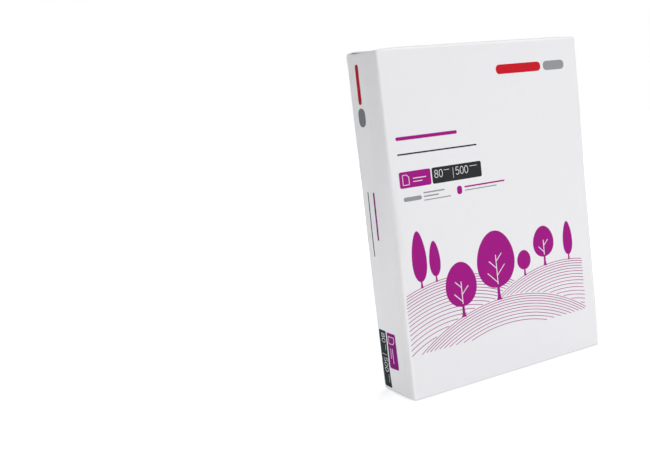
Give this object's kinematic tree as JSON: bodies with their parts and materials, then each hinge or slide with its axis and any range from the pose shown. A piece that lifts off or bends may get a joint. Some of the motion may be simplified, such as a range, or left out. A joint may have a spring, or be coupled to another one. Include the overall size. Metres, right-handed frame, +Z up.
{
  "type": "ream of paper",
  "caption": "Sealed pack of office paper in a printed wrapper, standing on a short end, with rounded long edges, envelope-folded ends and a lapped seam down the back.",
  "frame": {"origin": "under the middle of the pack, in the plane of the flap that the pack stands on", "axes": "+Z up along the long side of the sheets, +X to the right along their short side, and the front face looks along -Y; the seam is on the +Y face"},
  "size_m": [0.2102, 0.0554, 0.2993],
  "materials": {
    "wrapper": "white coated wrapping paper with a soft sheen, printed in magenta, dark grey and red"
  },
  "bodies": {
    "root": {"wrapped_ream": "wrapper"}
  },
  "joints": []
}
